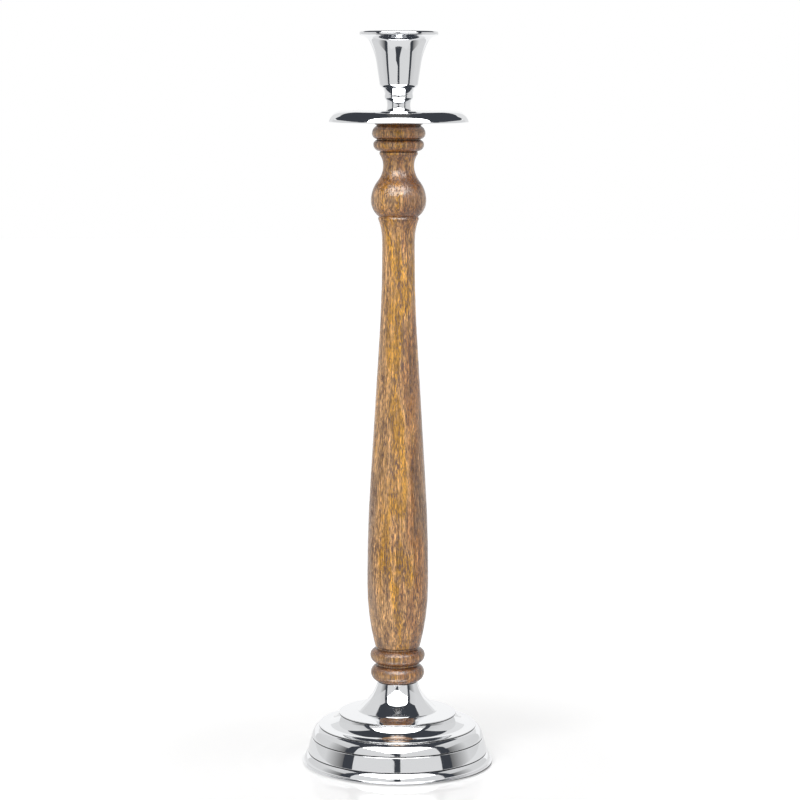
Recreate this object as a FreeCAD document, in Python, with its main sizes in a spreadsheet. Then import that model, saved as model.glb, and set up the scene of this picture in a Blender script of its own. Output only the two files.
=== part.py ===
import FreeCAD, Part
import math
import os
import re
import Sketcher

# A tall candlestick: a polished metal base and candle cup on a turned wooden stem.
# One threaded rod runs from the cup's foot through the drip pan, the stem and the
# base's neck, and a nut inside the hollow base clamps the whole stack together.
# Millimetres, +Z up, the floor at zero and the turning axis on Z.

# Driving sizes, piece by piece from the floor up. Widths are steps outward from the
# neck of a piece, so each ledge, cove or bead can be changed by itself.
SIZES = {
    # felt disc, glued on a little off centre
    "felt_thickness": 1.0,
    "felt_inset": 4.0,
    "felt_shift_right": 3.85,
    "felt_shift_back": 0.7,
    # base casting, from its neck outwards and from its foot upwards
    "casting_wall": 3.0,
    "casting_draft_share": 0.17,
    "foot_edge": 0.5,
    "foot_sweep_width": 2.2,
    "foot_sweep_height": 3.3,
    "skirt_height": 2.6,
    "skirt_edge_width": 0.8,
    "skirt_edge_height": 1.2,
    "band_cove_width": 1.2,
    "band_cove_height": 2.4,
    "band_height": 5.0,
    "band_edge_width": 1.2,
    "band_edge_height": 2.0,
    "band_edge_bulge_share": 0.17,
    "crease_height": 1.8,
    "shoulder_width": 4.4,
    "shoulder_height": 5.6,
    "shoulder_bulge_share": 0.13,
    "lower_edge_height": 1.0,
    "lower_edge_round": 0.6,
    "lower_ledge_width": 7.0,
    "lower_ledge_rise": 0.5,
    "base_cove_width": 6.2,
    "base_cove_height": 5.7,
    "upper_edge_height": 1.0,
    "upper_edge_round": 1.1,
    "upper_ledge_width": 11.8,
    "upper_ledge_rise": 1.3,
    "cone_fillet_width": 1.6,
    "cone_fillet_rise": 0.8,
    "cone_width": 6.2,
    "cone_height": 6.2,
    "neck_sweep_width": 7.0,
    "neck_sweep_height": 13.2,
    "neck_sweep_bulge_share": 0.064,
    "neck_radius": 13.4,
    "neck_edge": 0.5,
    "foot_rim_width": 10.0,
    "neck_plate": 4.0,
    "neck_hollow_depth": 2.6,
    # turned stem: two foot beads
    "stem_bore_gap": 0.75,
    "stem_groove_radius": 14.5,
    "stem_foot_inset": 1.1,
    "stem_groove_height": 1.0,
    "stem_bead_lip": 0.7,
    "stem_bead_lip_rise": 0.4,
    "foot_bead_proud": 4.1,
    "foot_bead_height": 11.2,
    "ankle_bead_proud": 4.5,
    "ankle_bead_height": 10.0,
    "bead_widest_share": 0.54,
    # turned stem: shaft from its foot to its collar
    "throat_radius": 11.2,
    "upper_shaft_swell": 2.75,
    "middle_shaft_swell": 5.1,
    "lower_shaft_swell": 2.15,
    "shaft_foot_draw": 5.6,
    "belly_rise": 43.5,
    "belly_land": 8.0,
    "lower_shaft_height": 66.0,
    "middle_shaft_height": 84.0,
    "upper_shaft_height": 76.0,
    "throat_height": 6.0,
    "collar_flare": 2.9,
    "collar_height": 15.0,
    "collar_edge": 1.3,
    # turned stem: bulb, vase neck and two top beads
    "bulb_proud": 5.5,
    "bulb_lower_height": 11.0,
    "bulb_upper_height": 23.9,
    "bulb_turn_share": 0.56,
    "vase_neck_radius": 10.6,
    "vase_flare": 2.5,
    "vase_flare_height": 7.6,
    "vase_edge_height": 1.2,
    "vase_groove": 0.5,
    "neck_bead_seat": 0.8,
    "neck_bead_proud": 2.3,
    "neck_bead_height": 7.6,
    "neck_bead_widest_share": 0.58,
    "top_groove_radius": 15.0,
    "top_groove_height": 0.6,
    "top_bead_proud": 3.25,
    "top_bead_height": 9.0,
    "top_bead_widest_share": 0.41,
    "top_neck_proud": 1.5,
    "top_neck_rise": 1.2,
    "top_neck_height": 7.0,
    # drip pan
    "pan_thickness": 2.0,
    "pan_flat_radius": 38.5,
    "pan_shoulder_width": 9.4,
    "pan_shoulder_drop": 7.3,
    "pan_edge_bulge_share": 0.3,
    # candle cup, from its socket inwards and from its foot upwards
    "socket_radius": 11.4,
    "socket_bore_length": 11.0,
    "cup_wall": 1.85,
    "cup_waist_depth": 0.7,
    "cup_waist_height": 7.6,
    "cup_waist_share": 0.46,
    "cup_ring_seat": 0.6,
    "cup_ring_proud": 1.1,
    "cup_ring_height": 3.7,
    "cup_cove_flare": 1.3,
    "cup_cove_height": 3.9,
    "cup_step_width": 1.1,
    "cup_step_rise": 0.4,
    "cup_round_width": 1.4,
    "cup_round_height": 3.4,
    "cup_body_swell": 1.65,
    "cup_body_height": 10.9,
    "cup_flare_width": 5.3,
    "cup_flare_height": 17.0,
    "cup_flare_bulge_share": 0.046,
    "cup_lip_width": 5.2,
    "cup_lip_rise": 3.8,
    "cup_lip_bulge_share": 0.11,
    "cup_lip_edge_width": 1.5,
    "cup_lip_edge_rise": 1.2,
    "cup_lip_land": 0.5,
    "cup_lip_round": 1.2,
    "mouth_round_width": 3.1,
    "mouth_round_drop": 0.9,
    "mouth_flare_height": 20.1,
    "cup_floor_thickness": 5.6,
    # rod, nut and washers
    "rod_radius": 3.0,
    "rod_chamfer": 0.6,
    "rod_tip_gap": 1.0,
    "rod_tail": 3.0,
    "thread_gap": 0.1,
    "hole_gap": 0.3,
    "nut_flat_radius": 5.0,
    "nut_height": 5.0,
    "nut_corner_drop": 0.5,
    "washer_radius": 9.0,
    "washer_thickness": 1.6,
    "washer_gap": 0.5,
    "spring_washer_width": 2.6,
    "spring_washer_thickness": 1.6,
}

# Angle of the spring washer's section round the rod, in degrees
SPRING_WASHER_TURN = 350

document = FreeCAD.newDocument("candlestick")
sheet = document.addObject("Spreadsheet::Sheet", "sizes")
for row, (alias, size) in enumerate(SIZES.items(), 1):
    sheet.set("A%d" % row, alias)
    sheet.set("B%d" % row, str(size))
    sheet.setAlias("B%d" % row, alias)
document.recompute()


def bound(text):
    """Give an expression whose names point at the sheet's cells."""
    return re.sub(r"[a-z_]+", lambda word: "sizes." + word[0] if word[0] in SIZES else word[0], text)


def value(text):
    """Work an expression out with the sheet's present sizes."""
    return float(sheet.evalExpression(text))


def total(*texts):
    """Join size expressions into one sum."""
    return " + ".join(texts)


class Outline:
    """Half of a turned section: points by radius and height, joined by lines and arcs."""

    def __init__(self, radius, height="0"):
        self.points = [(radius, height, None)]
        self.runs = []

    def line(self, radius, rise="0"):
        """Go straight to a radius, higher by the given rise."""
        height = self.points[-1][1] + " + " + rise
        self.points.append((radius, height, rise))
        self.runs.append(("line", None))

    def line_to_height(self, radius, height):
        """Go straight to a radius at a height above the piece's own bottom."""
        self.points.append((radius, height, None))
        self.runs.append(("line", None))

    def upright(self, radius, rise, at):
        """Go round an arc that runs upright at its start or its end."""
        self.line(radius, rise)
        self.runs[-1] = ("upright", at)

    def flat(self, radius, rise, at):
        """Go round an arc that runs flat at its start or its end."""
        self.line(radius, rise)
        self.runs[-1] = ("flat", at)

    def bulged(self, radius, rise, share):
        """Go round an arc whose rise over its chord is a share of the chord.

        A share with a minus sign bends towards the axis."""
        self.line(radius, rise)
        self.runs[-1] = ("bulged", share)

    def bead(self, widest, top, height, widest_share):
        """Turn a bead: out to its widest, then in to its top."""
        self.upright(widest, "%s * %s" % (height, widest_share), "end")
        self.upright(top, "%s * (1 - %s)" % (height, widest_share), "start")


def arc_centre(start, end, kind, detail):
    """Find the centre of an arc between two points of an outline."""
    reach = (end - start).Length ** 2 / 2
    if kind == "bulged":
        share = value(detail)
        chord = end - start
        side = FreeCAD.Vector(chord.y, -chord.x, 0)
        outward = 1 if side.x * share > 0 else -1
        size = abs(share)
        distance = (1 - 4 * size ** 2) / (8 * size)
        return (start + end) / 2 - side * (outward * distance)
    near, far = (start, end) if detail == "start" else (end, start)
    if kind == "upright":
        return near + FreeCAD.Vector(reach / (far.x - near.x), 0, 0)
    return near + FreeCAD.Vector(0, reach / (far.y - near.y), 0)


def add_arc(sketch, start, end, centre):
    """Add the arc about a centre, and tell which of its ends is the start."""
    circle = Part.Circle(centre, FreeCAD.Vector(0, 0, 1), (start - centre).Length)
    first = math.atan2(start.y - centre.y, start.x - centre.x)
    last = math.atan2(end.y - centre.y, end.x - centre.x)
    anticlockwise = (start - centre).cross(end - centre).z > 0
    angles = (first, last) if anticlockwise else (last, first)
    number = sketch.addGeometry(Part.ArcOfCircle(circle, *angles), False)
    return number, (1, 2) if anticlockwise else (2, 1)


def bind(sketch, kind, ends, text):
    """Add a distance or radius constraint whose size follows the sheet."""
    number = sketch.addConstraint(Sketcher.Constraint(kind, *ends, value(text)))
    sketch.setExpression("Constraints[%d]" % number, bound(text))


def new_sketch(body, name, plane):
    """Start a sketch on one of the body's own origin planes."""
    sketch = body.newObject("Sketcher::SketchObject", name)
    planes = [item for item in body.Origin.OriginFeatures if item.Role == plane]
    sketch.AttachmentSupport = (planes[0], "")
    sketch.MapMode = "FlatFace"
    return sketch


def draw_outline(body, name, outline):
    """Draw a closed outline on the upright plane, with every point bound to the sizes."""
    sketch = new_sketch(body, name, "XZ_Plane")
    places = [FreeCAD.Vector(value(radius), value(height), 0) for radius, height, rise in outline.points]
    runs = outline.runs + [("line", None)]
    ends = []
    for index, (kind, detail) in enumerate(runs):
        start = places[index]
        end = places[(index + 1) % len(places)]
        if kind == "line":
            number = sketch.addGeometry(Part.LineSegment(start, end), False)
            ends.append((number, 1, 2))
            continue
        centre = arc_centre(start, end, kind, detail)
        number, (first, last) = add_arc(sketch, start, end, centre)
        ends.append((number, first, last))
    for index, (number, first, last) in enumerate(ends):
        following = ends[(index + 1) % len(ends)]
        sketch.addConstraint(Sketcher.Constraint("Coincident", number, last, following[0], following[1]))
        kind, detail = runs[index]
        if kind in ("upright", "flat"):
            near = first if detail == "start" else last
            level = "Horizontal" if kind == "upright" else "Vertical"
            sketch.addConstraint(Sketcher.Constraint(level, number, 3, number, near))
        if kind == "bulged":
            start = outline.points[index]
            end = outline.points[index + 1]
            chord = "sqrt((%s - (%s))^2 + (%s)^2)" % (end[0], start[0], end[2])
            size = "abs(%s)" % detail
            bind(sketch, "Radius", (number,), "%s * (1 + 4 * %s^2) / (8 * %s)" % (chord, size, size))
    for index, (radius, height, rise) in enumerate(outline.points):
        number, first, last = ends[index]
        if radius == "0":
            sketch.addConstraint(Sketcher.Constraint("PointOnObject", number, first, -2))
        else:
            bind(sketch, "DistanceX", (-1, 1, number, first), radius)
        if rise is None and height == "0":
            sketch.addConstraint(Sketcher.Constraint("PointOnObject", number, first, -1))
        elif rise is None:
            bind(sketch, "DistanceY", (-1, 1, number, first), height)
        elif rise == "0":
            before = ends[index - 1]
            sketch.addConstraint(Sketcher.Constraint("Horizontal", before[0], before[1], number, first))
        else:
            before = ends[index - 1]
            bind(sketch, "DistanceY", (before[0], before[1], number, first), rise)
    return sketch


def new_body(label, height="0"):
    """Start a piece whose own bottom stands at a height above the floor."""
    body = document.addObject("PartDesign::Body", label)
    body.Label = label
    body.setExpression("Placement.Base.z", bound(height))
    return body


def turn(body, outline):
    """Turn the outline about the axis into a solid."""
    feature = body.newObject("PartDesign::Revolution", body.Label + "_turning")
    sketch = draw_outline(body, body.Label + "_outline", outline)
    feature.Profile = sketch
    feature.ReferenceAxis = (sketch, ["V_Axis"])
    return feature


def checked_cut(body, feature, before):
    """Make sure that a cut took material away."""
    document.recompute()
    if not body.Shape.Volume < before:
        raise RuntimeError("%s cuts nothing" % feature.Name)


def bore_out(body, name, outline):
    """Turn away the outline about the axis."""
    document.recompute()
    before = body.Shape.Volume
    sketch = draw_outline(body, name + "_outline", outline)
    feature = body.newObject("PartDesign::Groove", name)
    feature.Profile = sketch
    feature.ReferenceAxis = (sketch, ["V_Axis"])
    checked_cut(body, feature, before)


def circle_sketch(body, name, *radii):
    """Draw circles about the axis on the piece's bottom plane."""
    sketch = new_sketch(body, name, "XY_Plane")
    for radius in radii:
        circle = Part.Circle(FreeCAD.Vector(), FreeCAD.Vector(0, 0, 1), value(radius))
        number = sketch.addGeometry(circle, False)
        sketch.addConstraint(Sketcher.Constraint("Coincident", number, 3, -1, 1))
        bind(sketch, "Radius", (number,), radius)
    return sketch


def raise_disc(body, thickness, *radii):
    """Raise a round plate, with a hole where a second radius is given."""
    pad = body.newObject("PartDesign::Pad", body.Label + "_plate")
    pad.Profile = circle_sketch(body, body.Label + "_circles", *radii)
    pad.setExpression("Length", bound(thickness))


def drill(body, name, radius, depth=None):
    """Drill upward from the piece's bottom, right through where no depth is given."""
    document.recompute()
    before = body.Shape.Volume
    pocket = body.newObject("PartDesign::Pocket", name)
    pocket.Profile = circle_sketch(body, name + "_circle", radius)
    pocket.Reversed = True
    if depth is None:
        pocket.Type = "ThroughAll"
    else:
        pocket.setExpression("Length", bound(depth))
    checked_cut(body, pocket, before)


# Levels and radii that more than one piece follows
CLEAR_HOLE = "rod_radius + hole_gap"
THREAD_HOLE = "rod_radius + thread_gap"
WASHER_HOLLOW = "washer_radius + washer_gap"


def leaning(height):
    """The width that a cast wall gains from its top to its bottom."""
    return height + " * casting_draft_share"


# Radii of the base from its neck outward
CONE_TOP = total("neck_radius", "neck_sweep_width")
CONE_FOOT = total(CONE_TOP, "cone_width")
UPPER_LEDGE_IN = total(CONE_FOOT, "cone_fillet_width")
UPPER_LEDGE_OUT = total(UPPER_LEDGE_IN, "upper_ledge_width")
UPPER_EDGE = total(UPPER_LEDGE_OUT, "upper_edge_round")
BASE_COVE_IN = total(UPPER_EDGE, leaning("upper_edge_height"))
BASE_COVE_OUT = total(BASE_COVE_IN, "base_cove_width")
LOWER_LEDGE_OUT = total(BASE_COVE_OUT, "lower_ledge_width")
LOWER_EDGE = total(LOWER_LEDGE_OUT, "lower_edge_round")
SHOULDER_IN = total(LOWER_EDGE, leaning("lower_edge_height"))
SHOULDER_OUT = total(SHOULDER_IN, "shoulder_width")
CREASE_OUT = total(SHOULDER_OUT, leaning("crease_height"))
BAND_TOP = total(CREASE_OUT, "band_edge_width")
BAND_FOOT = total(BAND_TOP, leaning("band_height"))
SKIRT_EDGE = total(BAND_FOOT, "band_cove_width")
SKIRT_TOP = total(SKIRT_EDGE, "skirt_edge_width")
SKIRT_FOOT = total(SKIRT_TOP, leaning("skirt_height"))
FOOT_RADIUS = total(SKIRT_FOOT, "foot_sweep_width")

# Heights of the base above its own bottom
CREASE_LEVEL = total(
    "foot_edge", "foot_sweep_height", "skirt_height", "skirt_edge_height",
    "band_cove_height", "band_height", "band_edge_height",
)
LOWER_LEDGE_LEVEL = total(
    CREASE_LEVEL, "crease_height", "shoulder_height", "lower_edge_height", "lower_edge_round",
)
BASE_COVE_LEVEL = total(LOWER_LEDGE_LEVEL, "lower_ledge_rise")
UPPER_LEDGE_LEVEL = total(
    BASE_COVE_LEVEL, "base_cove_height", "upper_edge_height", "upper_edge_round",
)
CONE_LEVEL = total(UPPER_LEDGE_LEVEL, "upper_ledge_rise")
BASE_HEIGHT = total(
    CONE_LEVEL, "cone_fillet_rise", "cone_height", "neck_sweep_height", "neck_edge",
)
NECK_PLATE_LEVEL = BASE_HEIGHT + " - neck_plate"


def make_base_felt():
    """A felt disc that stops short of the foot's edge and hides the nut."""
    body = new_body("base_felt")
    body.setExpression("Placement.Base.x", bound("felt_shift_right"))
    body.setExpression("Placement.Base.y", bound("felt_shift_back"))
    raise_disc(body, "felt_thickness", FOOT_RADIUS + " - felt_inset")
    return body


def make_base_casting():
    """The hollow base: foot, band, shoulder, two ledges, cone and neck."""
    body = new_body("base_casting", "felt_thickness")
    outline = Outline("0")
    outline.line(FOOT_RADIUS + " - foot_edge")
    outline.upright(FOOT_RADIUS, "foot_edge", "end")
    outline.upright(SKIRT_FOOT, "foot_sweep_height", "end")
    outline.line(SKIRT_TOP, "skirt_height")
    outline.upright(SKIRT_EDGE, "skirt_edge_height", "start")
    outline.upright(BAND_FOOT, "band_cove_height", "end")
    outline.upright(BAND_TOP, "band_height", "start")
    outline.bulged(CREASE_OUT, "band_edge_height", "band_edge_bulge_share")
    outline.line(SHOULDER_OUT, "crease_height")
    outline.bulged(SHOULDER_IN, "shoulder_height", "shoulder_bulge_share")
    outline.line(LOWER_EDGE, "lower_edge_height")
    outline.upright(LOWER_LEDGE_OUT, "lower_edge_round", "start")
    outline.line(BASE_COVE_OUT, "lower_ledge_rise")
    outline.flat(BASE_COVE_IN, "base_cove_height", "start")
    outline.line(UPPER_EDGE, "upper_edge_height")
    outline.upright(UPPER_LEDGE_OUT, "upper_edge_round", "start")
    outline.line(UPPER_LEDGE_IN, "upper_ledge_rise")
    outline.flat(CONE_FOOT, "cone_fillet_rise", "start")
    outline.line(CONE_TOP, "cone_height")
    outline.bulged("neck_radius", "neck_sweep_height", "-neck_sweep_bulge_share")
    outline.line("neck_radius - neck_edge", "neck_edge")
    outline.line("0")
    turn(body, outline)

    hollow = Outline("0")
    hollow.line(FOOT_RADIUS + " - foot_rim_width")
    hollow.line_to_height(SHOULDER_OUT + " - casting_wall", CREASE_LEVEL)
    hollow.line_to_height(LOWER_LEDGE_OUT + " - casting_wall", LOWER_LEDGE_LEVEL + " - casting_wall")
    hollow.line_to_height(BASE_COVE_OUT + " - casting_wall", BASE_COVE_LEVEL + " - casting_wall")
    hollow.line_to_height(UPPER_EDGE + " - casting_wall", BASE_COVE_LEVEL + " + base_cove_height / 2")
    hollow.line_to_height(UPPER_EDGE + " - casting_wall", UPPER_LEDGE_LEVEL + " - casting_wall")
    hollow.line_to_height(CONE_FOOT, CONE_LEVEL + " - casting_wall")
    hollow.line_to_height(WASHER_HOLLOW, NECK_PLATE_LEVEL + " - neck_hollow_depth")
    hollow.line_to_height(WASHER_HOLLOW, NECK_PLATE_LEVEL)
    hollow.line("0")
    bore_out(body, "base_hollow", hollow)
    drill(body, "neck_hole", CLEAR_HOLE)
    return body


# The stem stands on the base's neck
STEM_LEVEL = total("felt_thickness", BASE_HEIGHT)
SHAFT_FOOT_LIP = "stem_groove_radius + stem_bead_lip"
BELLY_RADIUS = total("throat_radius", "upper_shaft_swell", "middle_shaft_swell", "lower_shaft_swell")
BULB_RADIUS = "throat_radius + collar_flare - collar_edge / 2 + bulb_proud"
STEM_HEIGHT = total(
    "stem_bead_lip_rise", "foot_bead_height", "2 * stem_bead_lip_rise", "stem_groove_height",
    "ankle_bead_height", "2 * stem_bead_lip_rise", "stem_groove_height",
    "belly_rise", "belly_land", "lower_shaft_height", "middle_shaft_height",
    "upper_shaft_height", "throat_height", "collar_height", "collar_edge",
    "bulb_lower_height", "bulb_upper_height", "vase_flare_height", "vase_edge_height",
    "2 * vase_groove", "neck_bead_height", "top_groove_height", "top_bead_height",
    "top_neck_rise", "top_neck_height",
)


def groove(outline, next_radius):
    """Cut a narrow groove between two turned members of the stem's foot."""
    outline.line("stem_groove_radius", "stem_bead_lip_rise")
    outline.line("stem_groove_radius", "stem_groove_height")
    outline.line(next_radius, "stem_bead_lip_rise")


def make_turned_stem():
    """One length of hardwood, turned outside and drilled through."""
    body = new_body("turned_stem", STEM_LEVEL)
    outline = Outline("0")
    outline.line("stem_groove_radius - stem_foot_inset")
    outline.line("stem_groove_radius", "stem_bead_lip_rise")
    outline.bead(
        "stem_groove_radius + foot_bead_proud", SHAFT_FOOT_LIP,
        "foot_bead_height", "bead_widest_share",
    )
    groove(outline, SHAFT_FOOT_LIP)
    outline.bead(
        "stem_groove_radius + ankle_bead_proud", SHAFT_FOOT_LIP,
        "ankle_bead_height", "bead_widest_share",
    )
    groove(outline, BELLY_RADIUS + " - shaft_foot_draw")
    outline.upright(BELLY_RADIUS, "belly_rise", "end")
    outline.line(BELLY_RADIUS, "belly_land")
    outline.upright(BELLY_RADIUS + " - lower_shaft_swell", "lower_shaft_height", "start")
    outline.line("throat_radius + upper_shaft_swell", "middle_shaft_height")
    outline.upright("throat_radius", "upper_shaft_height", "end")
    outline.line("throat_radius", "throat_height")
    outline.upright("throat_radius + collar_flare", "collar_height", "start")
    outline.line("throat_radius + collar_flare - collar_edge / 2", "collar_edge")
    outline.upright(BULB_RADIUS, "bulb_lower_height", "end")
    turn_radius = "(%s) * (1 - bulb_turn_share) + vase_neck_radius * bulb_turn_share" % BULB_RADIUS
    outline.upright(turn_radius, "bulb_upper_height * bulb_turn_share", "start")
    outline.upright("vase_neck_radius", "bulb_upper_height * (1 - bulb_turn_share)", "end")
    outline.upright("vase_neck_radius + vase_flare", "vase_flare_height", "start")
    outline.line("vase_neck_radius + vase_flare", "vase_edge_height")
    outline.line("vase_neck_radius + vase_flare - vase_groove", "vase_groove")
    neck_bead_seat = "vase_neck_radius + vase_flare - vase_groove + neck_bead_seat"
    outline.line(neck_bead_seat, "vase_groove")
    outline.bead(
        "top_groove_radius + neck_bead_proud", "top_groove_radius",
        "neck_bead_height", "neck_bead_widest_share",
    )
    outline.line("top_groove_radius", "top_groove_height")
    outline.bead(
        "top_groove_radius + top_bead_proud", "top_groove_radius",
        "top_bead_height", "top_bead_widest_share",
    )
    outline.line("top_groove_radius + top_neck_proud", "top_neck_rise")
    outline.line("top_groove_radius + top_neck_proud", "top_neck_height")
    outline.line("0")
    turn(body, outline)
    drill(body, "rod_bore", "rod_radius + stem_bore_gap")
    return body


PAN_LEVEL = total(STEM_LEVEL, STEM_HEIGHT)


def make_drip_pan():
    """A thin pan with a flat top and a shoulder that turns down to a rounded edge."""
    body = new_body("drip_pan", PAN_LEVEL)
    outer = "pan_flat_radius + pan_shoulder_width"
    turned_share = "(1 - 2 * pan_thickness * pan_shoulder_drop / (pan_shoulder_width^2 + pan_shoulder_drop^2))"
    inner_drop = "pan_shoulder_drop * " + turned_share
    outline = Outline("0")
    outline.line("pan_flat_radius")
    outline.flat("pan_flat_radius + pan_shoulder_width * " + turned_share, "-" + inner_drop, "start")
    outline.bulged(outer, "pan_thickness - pan_shoulder_drop + " + inner_drop, "pan_edge_bulge_share")
    outline.flat("pan_flat_radius", "pan_shoulder_drop", "end")
    outline.line("0")
    turn(body, outline)
    drill(body, "pan_hole", CLEAR_HOLE)
    return body


# The cup stands on the pan
CUP_LEVEL = total(PAN_LEVEL, "pan_thickness")
CUP_BODY_RADIUS = total("socket_radius", "cup_wall")
CUP_STEP_RADIUS = CUP_BODY_RADIUS + " - cup_round_width"
CUP_COVE_RADIUS = CUP_STEP_RADIUS + " - cup_step_width"
CUP_RING_TOP = CUP_COVE_RADIUS + " - cup_cove_flare"
CUP_RING_RADIUS = CUP_RING_TOP + " + (cup_ring_proud - cup_ring_seat) / 2"
CUP_FOOT_RADIUS = CUP_RING_RADIUS + " - cup_ring_proud"
CUP_FLARE_FOOT = total(CUP_BODY_RADIUS, "cup_body_swell")
CUP_FLARE_TOP = total(CUP_FLARE_FOOT, "cup_flare_width")
CUP_LIP_FOOT = total(CUP_FLARE_TOP, "cup_lip_width")
CUP_LIP_RADIUS = total(CUP_LIP_FOOT, "cup_lip_edge_width")
CUP_HEIGHT = total(
    "cup_waist_height", "cup_ring_height", "cup_cove_height", "cup_step_rise",
    "cup_round_height", "cup_body_height", "cup_flare_height", "cup_lip_rise",
    "cup_lip_edge_rise", "cup_lip_land", "cup_lip_round",
)
SOCKET_DEPTH = total("mouth_round_drop", "mouth_flare_height", "socket_bore_length")
TAPPED_DEPTH = "%s - (%s) - cup_floor_thickness" % (CUP_HEIGHT, SOCKET_DEPTH)


def make_candle_cup():
    """The cup: waisted foot, ring, cove, body, flared lip and candle socket."""
    body = new_body("candle_cup", CUP_LEVEL)
    outline = Outline("0")
    outline.line(CUP_FOOT_RADIUS)
    waist = CUP_FOOT_RADIUS + " - cup_waist_depth"
    outline.upright(waist, "cup_waist_height * cup_waist_share", "end")
    outline.upright(CUP_FOOT_RADIUS, "cup_waist_height * (1 - cup_waist_share)", "start")
    outline.line(CUP_FOOT_RADIUS + " + cup_ring_seat")
    outline.upright(CUP_RING_RADIUS, "cup_ring_height / 2", "end")
    outline.upright(CUP_RING_TOP, "cup_ring_height / 2", "start")
    outline.upright(CUP_COVE_RADIUS, "cup_cove_height", "start")
    outline.line(CUP_STEP_RADIUS, "cup_step_rise")
    outline.upright(CUP_BODY_RADIUS, "cup_round_height", "end")
    outline.line(CUP_FLARE_FOOT, "cup_body_height")
    outline.bulged(CUP_FLARE_TOP, "cup_flare_height", "-cup_flare_bulge_share")
    outline.bulged(CUP_LIP_FOOT, "cup_lip_rise", "-cup_lip_bulge_share")
    outline.upright(CUP_LIP_RADIUS, "cup_lip_edge_rise", "end")
    outline.line(CUP_LIP_RADIUS, "cup_lip_land")
    outline.upright(CUP_LIP_RADIUS + " - cup_lip_round", "cup_lip_round", "start")
    mouth = CUP_LIP_RADIUS + " - cup_lip_round - mouth_round_width"
    outline.flat(mouth, "-mouth_round_drop", "start")
    outline.upright("socket_radius", "-mouth_flare_height", "end")
    outline.line("socket_radius", "-socket_bore_length")
    outline.line("0")
    turn(body, outline)
    drill(body, "tapped_hole", THREAD_HOLE, TAPPED_DEPTH)
    return body


# The clamping parts hang under the base's neck plate
PLATE_UNDERSIDE = "felt_thickness + " + NECK_PLATE_LEVEL
WASHER_LEVEL = PLATE_UNDERSIDE + " - washer_thickness"
SPRING_WASHER_LEVEL = WASHER_LEVEL + " - spring_washer_thickness"
NUT_LEVEL = SPRING_WASHER_LEVEL + " - nut_height"
ROD_LEVEL = NUT_LEVEL + " - rod_tail"


def make_base_washer():
    """The large flat washer under the base's neck plate."""
    body = new_body("base_washer", WASHER_LEVEL)
    raise_disc(body, "washer_thickness", "washer_radius", CLEAR_HOLE)
    return body


def make_spring_washer():
    """The split spring washer, pressed flat by the nut."""
    body = new_body("spring_washer", SPRING_WASHER_LEVEL)
    outline = Outline(CLEAR_HOLE)
    outline.line(CLEAR_HOLE + " + spring_washer_width")
    outline.line(CLEAR_HOLE + " + spring_washer_width", "spring_washer_thickness")
    outline.line(CLEAR_HOLE)
    turn(body, outline).Angle = SPRING_WASHER_TURN
    return body


def make_hex_nut():
    """The hexagon nut, with the corners of its lower face turned off."""
    body = new_body("hex_nut", NUT_LEVEL)
    sketch = new_sketch(body, "nut_hexagon", "XY_Plane")
    corner = value("nut_flat_radius / cos(30)")
    corners = [FreeCAD.Vector(corner * math.cos(turn_angle), corner * math.sin(turn_angle), 0)
               for turn_angle in (math.pi * number / 3 for number in range(6))]
    for number in range(6):
        side = Part.LineSegment(corners[number], corners[(number + 1) % 6])
        sketch.addGeometry(side, False)
    guide = Part.Circle(FreeCAD.Vector(), FreeCAD.Vector(0, 0, 1), corner)
    round_corners = sketch.addGeometry(guide, True)
    sketch.addConstraint(Sketcher.Constraint("Coincident", round_corners, 3, -1, 1))
    bind(sketch, "Radius", (round_corners,), "nut_flat_radius / cos(30)")
    for number in range(6):
        following = (number + 1) % 6
        sketch.addConstraint(Sketcher.Constraint("Coincident", number, 2, following, 1))
        sketch.addConstraint(Sketcher.Constraint("PointOnObject", number, 1, round_corners))
        if number:
            sketch.addConstraint(Sketcher.Constraint("Equal", 0, number))
    sketch.addConstraint(Sketcher.Constraint("PointOnObject", 0, 1, -1))
    pad = body.newObject("PartDesign::Pad", "nut_blank")
    pad.Profile = sketch
    pad.setExpression("Length", bound("nut_height"))
    corners_off = Outline("nut_flat_radius")
    corners_off.line("nut_flat_radius / cos(30) + nut_corner_drop")
    corners_off.line("nut_flat_radius / cos(30) + nut_corner_drop", "nut_corner_drop")
    bore_out(body, "nut_corners", corners_off)
    drill(body, "nut_thread", THREAD_HOLE)
    return body


def make_tie_rod():
    """The threaded rod, with chamfered ends; its thread is a plain cylinder."""
    body = new_body("tie_rod", ROD_LEVEL)
    top = "%s + %s - rod_tip_gap" % (CUP_LEVEL, TAPPED_DEPTH)
    length = "%s - (%s)" % (top, ROD_LEVEL)
    outline = Outline("0")
    outline.line("rod_radius - rod_chamfer")
    outline.line("rod_radius", "rod_chamfer")
    outline.line("rod_radius", length + " - 2 * rod_chamfer")
    outline.line("rod_radius - rod_chamfer", "rod_chamfer")
    outline.line("0")
    turn(body, outline)
    return body


pieces = [
    make_base_felt(),
    make_base_casting(),
    make_turned_stem(),
    make_drip_pan(),
    make_candle_cup(),
    make_base_washer(),
    make_spring_washer(),
    make_hex_nut(),
    make_tie_rod(),
]
document.recompute()

for item in document.Objects:
    if "Invalid" in item.State or "Error" in item.State:
        raise RuntimeError("%s failed: %s" % (item.Label, item.State))
for piece in pieces:
    if piece.Shape.isNull() or not piece.Shape.isValid() or len(piece.Shape.Solids) != 1:
        raise RuntimeError("%s has no valid single solid" % piece.Label)

os.makedirs("parts", exist_ok=True)
for piece in pieces:
    piece.Shape.exportStep("parts/%s.step" % piece.Label)
    box = piece.Shape.optimalBoundingBox(False)
    print("%-14s z %7.2f to %7.2f, radius %6.2f, volume %9.1f"
          % (piece.Label, box.ZMin, box.ZMax, box.XLength / 2, piece.Shape.Volume))
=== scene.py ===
import math

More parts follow.
